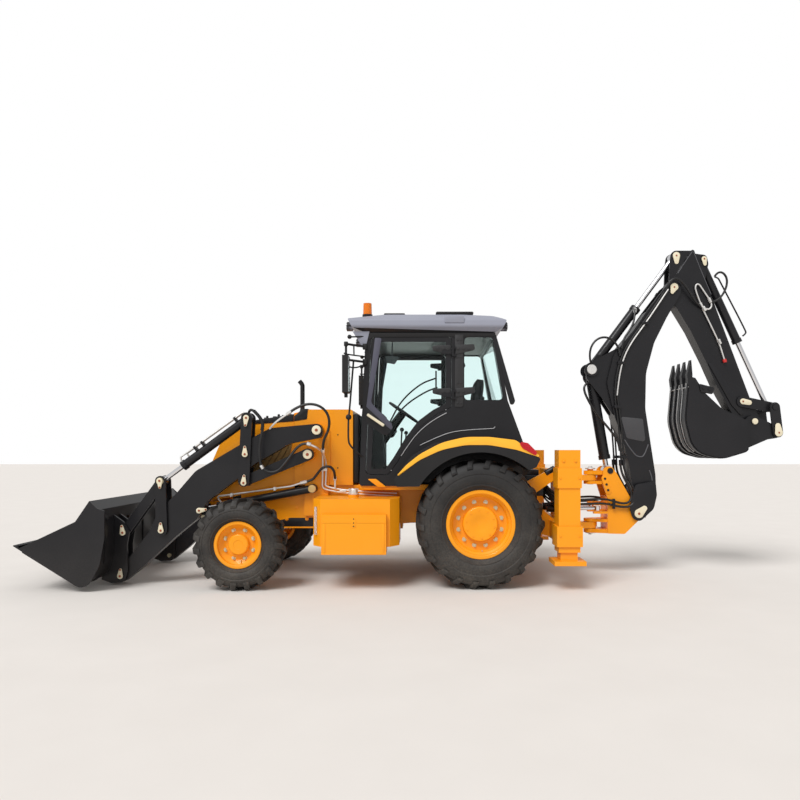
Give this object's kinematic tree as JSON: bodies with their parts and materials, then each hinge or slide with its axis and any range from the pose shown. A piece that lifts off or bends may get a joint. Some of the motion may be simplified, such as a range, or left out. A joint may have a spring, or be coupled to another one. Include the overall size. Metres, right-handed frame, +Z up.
{
  "type": "backhoe loader",
  "caption": "Wheeled loader with a wide front bucket on parallel-lift arms, a glazed cab, and a side-shifting digging arm with drop stabilisers at the rear.",
  "frame": {"origin": "on the ground, in the middle of the machine's box", "axes": "the loading bucket faces -X and the digging arm +X; -Y is the machine's left side; +Z is up"},
  "size_m": [8.1356, 2.3, 3.7002],
  "materials": {
    "orange": "semi-gloss",
    "black": "satin",
    "rubber": "matt",
    "chrome": "polished",
    "roof": "satin",
    "glass": "clear",
    "trim": "matt",
    "seat": "matt",
    "zinc": "zinc plated",
    "lamp": "gloss"
  },
  "bodies": {
    "machine": {"chassis": "orange", "engine": "black", "cowl": "orange", "axles": "orange", "tanks": "orange", "cab_frame": "black", "cab_roof": "roof", "cab_glass": "glass", "fenders": "trim", "seat": "seat", "controls": "trim", "mirrors": "trim", "lamps": "lamp"},
    "carriage": {"carriage": "orange", "swing_barrels": "black"},
    "door_left": {"door_left": "black", "door_left_glass": "glass"},
    "door_right": {"door_right": "black", "door_right_glass": "glass"},
    "wheel_front_left": {"rim_front_left": "orange", "tyre_front_left": "rubber"},
    "wheel_front_right": {"rim_front_right": "orange", "tyre_front_right": "rubber"},
    "wheel_rear_left": {"rim_rear_left": "orange", "tyre_rear_left": "rubber"},
    "wheel_rear_right": {"rim_rear_right": "orange", "tyre_rear_right": "rubber"},
    "hood": {"hood": "orange"},
    "knuckle_left": {"knuckle_left": "orange"},
    "knuckle_right": {"knuckle_right": "orange"},
    "toolbox_lid": {"toolbox_lid": "orange"},
    "loader_arms": {"loader_arms": "black"},
    "bellcranks": {"bellcranks": "black"},
    "level_bars": {"level_bars": "black"},
    "lift_barrels": {"lift_barrels": "black"},
    "lift_rods": {"lift_rods": "chrome"},
    "dump_barrels": {"dump_barrels": "black"},
    "dump_rods": {"dump_rods": "chrome"},
    "lever_pins": {"lever_pins": "zinc"},
    "front_levers": {"front_levers": "black"},
    "link_pins": {"link_pins": "zinc"},
    "bucket_links": {"bucket_links": "black"},
    "bucket_pins": {"bucket_pins": "zinc"},
    "loader_bucket": {"loader_bucket": "black"},
    "stabiliser_left": {"stabiliser_left": "orange"},
    "stabiliser_right": {"stabiliser_right": "orange"},
    "kingpost": {"kingpost": "orange"},
    "swing_rod_left": {"swing_rod_left": "chrome"},
    "swing_rod_right": {"swing_rod_right": "chrome"},
    "boom": {"boom": "black"},
    "boom_barrel": {"boom_barrel": "black"},
    "boom_rod": {"boom_rod": "chrome"},
    "dipper": {"dipper": "black"},
    "dipper_barrel": {"dipper_barrel": "black"},
    "dipper_rod": {"dipper_rod": "chrome"},
    "digger_barrel": {"digger_barrel": "black"},
    "digger_rod": {"digger_rod": "chrome"},
    "rocker": {"rocker": "black"},
    "digger_link": {"digger_link": "black"},
    "digger_bucket": {"digger_bucket": "black"}
  },
  "joints": [
    {"name": "steering", "type": "hinge", "parent": "machine", "child": "knuckle_left", "pos_m": [-1.892, -0.765, 0.46], "axis": [0, 0, 1], "range_deg": [-30, 30]},
    {"name": "steering_right", "type": "hinge", "parent": "machine", "child": "knuckle_right", "pos_m": [-1.892, 0.765, 0.46], "axis": [0, 0, 1], "range_deg": [-31, 31]},
    {"name": "wheel_front_left_spin", "type": "hinge", "parent": "knuckle_left", "child": "wheel_front_left", "pos_m": [-1.892, -0.95, 0.46], "axis": [0, 1, 0], "continuous": true},
    {"name": "wheel_rear_left_spin", "type": "hinge", "parent": "machine", "child": "wheel_rear_left", "pos_m": [0.543, -0.82, 0.657], "axis": [0, 1, 0], "continuous": true},
    {"name": "wheel_front_right_spin", "type": "hinge", "parent": "knuckle_right", "child": "wheel_front_right", "pos_m": [-1.892, 0.95, 0.46], "axis": [0, 1, 0], "continuous": true},
    {"name": "wheel_rear_right_spin", "type": "hinge", "parent": "machine", "child": "wheel_rear_right", "pos_m": [0.543, 0.82, 0.657], "axis": [0, 1, 0], "continuous": true},
    {"name": "hood_hinge", "type": "hinge", "parent": "machine", "child": "hood", "pos_m": [-1.437, 0, 1.802], "axis": [0, 1, 0], "range_deg": [0, 50]},
    {"name": "door_left_hinge", "type": "hinge", "parent": "machine", "child": "door_left", "pos_m": [0.276, -0.759, 1.9], "axis": [0, 0, 1], "range_deg": [0, 80]},
    {"name": "door_right_hinge", "type": "hinge", "parent": "machine", "child": "door_right", "pos_m": [0.276, 0.759, 1.9], "axis": [0, 0, -1], "range_deg": [0, 80]},
    {"name": "toolbox_lid_hinge", "type": "hinge", "parent": "machine", "child": "toolbox_lid", "pos_m": [-0.727, -1.085, 0.77], "axis": [-1, 0, 0], "range_deg": [0, 85]},
    {"name": "arm_lift", "type": "hinge", "parent": "machine", "child": "loader_arms", "pos_m": [-1.151, 0, 1.618], "axis": [0, 1, 0], "range_deg": [0, 62]},
    {"name": "bellcrank_turn", "type": "hinge", "parent": "loader_arms", "child": "bellcranks", "pos_m": [-1.896, 0, 1.379], "axis": [0, 1, 0], "range_deg": [-55.76, 1]},
    {"name": "level_bar_turn", "type": "hinge", "parent": "machine", "child": "level_bars", "pos_m": [-1.249, 0, 1.364], "axis": [0, 1, 0], "range_deg": [-1, 69.41]},
    {"name": "lift_barrel_turn", "type": "hinge", "parent": "machine", "child": "lift_barrels", "pos_m": [-1.221, 0, 0.996], "axis": [0, 1, 0], "range_deg": [-1, 60.02]},
    {"name": "lift_rod_slide", "type": "slide", "parent": "lift_barrels", "child": "lift_rods", "axis": [-0.9824, 0, -0.187], "range_m": [-0.005, 0.6511]},
    {"name": "dump_barrel_turn", "type": "hinge", "parent": "bellcranks", "child": "dump_barrels", "pos_m": [-1.879, 0, 1.745], "axis": [0, 1, 0], "range_deg": [-1, 56.53]},
    {"name": "lever_pin_turn", "type": "hinge", "parent": "loader_arms", "child": "lever_pins", "pos_m": [-2.766, 0, 0.577], "axis": [0, 1, 0], "range_deg": [-40.17, 1]},
    {"name": "bucket_pin_turn", "type": "hinge", "parent": "loader_arms", "child": "bucket_pins", "pos_m": [-3.19, 0, 0.1], "axis": [0, 1, 0], "range_deg": [-46.69, 1]},
    {"name": "bucket_tilt", "type": "hinge", "parent": "bucket_pins", "child": "loader_bucket", "pos_m": [-3.19, 0, 0.1], "axis": [0, 1, 0], "range_deg": [-78, 12]},
    {"name": "front_lever_turn", "type": "hinge", "parent": "lever_pins", "child": "front_levers", "pos_m": [-2.766, 0, 0.577], "axis": [0, 1, 0], "range_deg": [-67.5, 11.23]},
    {"name": "link_pin_turn", "type": "hinge", "parent": "front_levers", "child": "link_pins", "pos_m": [-2.779, 0, 1.085], "axis": [0, 1, 0], "range_deg": [-1, 41.62]},
    {"name": "bucket_link_turn", "type": "hinge", "parent": "link_pins", "child": "bucket_links", "pos_m": [-2.779, 0, 1.085], "axis": [0, 1, 0], "range_deg": [-11.5, 69.24]},
    {"name": "dump_rod_slide", "type": "slide", "parent": "dump_barrels", "child": "dump_rods", "axis": [-0.8064, 0, -0.5914], "range_m": [-0.089, 0.5513]},
    {"name": "stabiliser_left_drop", "type": "slide", "parent": "machine", "child": "stabiliser_left", "axis": [0, 0, -1], "range_m": [0, 0.45]},
    {"name": "stabiliser_right_drop", "type": "slide", "parent": "machine", "child": "stabiliser_right", "axis": [0, 0, -1], "range_m": [0, 0.45]},
    {"name": "side_shift", "type": "slide", "parent": "machine", "child": "carriage", "axis": [0, 1, 0], "range_m": [-0.45, 0.45]},
    {"name": "swing", "type": "hinge", "parent": "carriage", "child": "kingpost", "pos_m": [1.9, 0, 0.749], "axis": [0, 0, 1], "range_deg": [-80, 80]},
    {"name": "swing_rod_left_slide", "type": "slide", "parent": "carriage", "child": "swing_rod_left", "axis": [1, 0, 0], "range_m": [-0.1393, 0.1393]},
    {"name": "swing_rod_right_slide", "type": "slide", "parent": "carriage", "child": "swing_rod_right", "axis": [1, 0, 0], "range_m": [-0.1393, 0.1393]},
    {"name": "boom_lower", "type": "hinge", "parent": "kingpost", "child": "boom", "pos_m": [2.425, 0, 0.715], "axis": [0, 1, 0], "range_deg": [0, 90]},
    {"name": "boom_barrel_turn", "type": "hinge", "parent": "boom", "child": "boom_barrel", "pos_m": [1.892, 0, 2.33], "axis": [0, 1, 0], "range_deg": [-1, 13.06]},
    {"name": "boom_rod_slide", "type": "slide", "parent": "boom_barrel", "child": "boom_rod", "axis": [0.1688, 0, -0.9856], "range_m": [-0.005, 0.7412]},
    {"name": "dipper_turn", "type": "hinge", "parent": "boom", "child": "dipper", "pos_m": [2.815, 0, 3.254], "axis": [0, 1, 0], "range_deg": [-110, 0]},
    {"name": "dipper_barrel_turn", "type": "hinge", "parent": "boom", "child": "dipper_barrel", "pos_m": [1.892, 0, 2.33], "axis": [0, 1, 0], "range_deg": [-10.13, 1]},
    {"name": "dipper_rod_slide", "type": "slide", "parent": "dipper_barrel", "child": "dipper_rod", "axis": [0.5964, 0, 0.8027], "range_m": [-0.6059, 0.005]},
    {"name": "digger_tilt", "type": "hinge", "parent": "dipper", "child": "digger_bucket", "pos_m": [3.73, 0, 1.735], "axis": [0, 1, 0], "range_deg": [-120, 0]},
    {"name": "rocker_turn", "type": "hinge", "parent": "dipper", "child": "rocker", "pos_m": [3.605, 0, 1.962], "axis": [0, 1, 0], "range_deg": [-92.92, 1]},
    {"name": "digger_link_turn", "type": "hinge", "parent": "rocker", "child": "digger_link", "pos_m": [3.95, 0, 1.895], "axis": [0, 1, 0], "range_deg": [-1, 85.43]},
    {"name": "digger_barrel_turn", "type": "hinge", "parent": "dipper", "child": "digger_barrel", "pos_m": [3.171, 0, 3.586], "axis": [0, 1, 0], "range_deg": [-1, 1.2]},
    {"name": "digger_rod_slide", "type": "slide", "parent": "digger_barrel", "child": "digger_rod", "axis": [0.4184, 0, -0.9083], "range_m": [-0.5146, 0.005]}
  ],
  "couplings": [
    {"joint": "steering_right", "follows": "steering", "ratio": 1},
    {"joint": "bellcrank_turn", "follows": "arm_lift", "ratio": -0.8833},
    {"joint": "level_bar_turn", "follows": "arm_lift", "ratio": 1.1034},
    {"joint": "lift_barrel_turn", "follows": "arm_lift", "ratio": 0.952},
    {"joint": "lift_rod_slide", "follows": "arm_lift", "m_per_rad": 0.5971},
    {"joint": "dump_barrel_turn", "follows": "arm_lift", "ratio": 0.8956},
    {"joint": "lever_pin_turn", "follows": "arm_lift", "ratio": -0.6317},
    {"joint": "bucket_pin_turn", "follows": "arm_lift", "ratio": -0.7369},
    {"joint": "front_lever_turn", "follows": "bucket_tilt", "ratio": 0.8525},
    {"joint": "link_pin_turn", "follows": "arm_lift", "ratio": 0.6552},
    {"joint": "bucket_link_turn", "follows": "bucket_tilt", "ratio": -0.8749},
    {"joint": "dump_rod_slide", "follows": "bucket_tilt", "m_per_rad": -0.4013},
    {"joint": "swing_rod_left_slide", "follows": "swing", "m_per_rad": 0.0962},
    {"joint": "swing_rod_right_slide", "follows": "swing", "m_per_rad": -0.0962},
    {"joint": "boom_barrel_turn", "follows": "boom_lower", "ratio": 0.134},
    {"joint": "boom_rod_slide", "follows": "boom_lower", "m_per_rad": 0.4687},
    {"joint": "dipper_barrel_turn", "follows": "dipper_turn", "ratio": 0.083},
    {"joint": "dipper_rod_slide", "follows": "dipper_turn", "m_per_rad": 0.313},
    {"joint": "rocker_turn", "follows": "digger_tilt", "ratio": 0.766},
    {"joint": "digger_link_turn", "follows": "digger_tilt", "ratio": -0.7036},
    {"joint": "digger_barrel_turn", "follows": "digger_tilt", "ratio": -0.0017},
    {"joint": "digger_rod_slide", "follows": "digger_tilt", "m_per_rad": 0.2433}
  ]
}
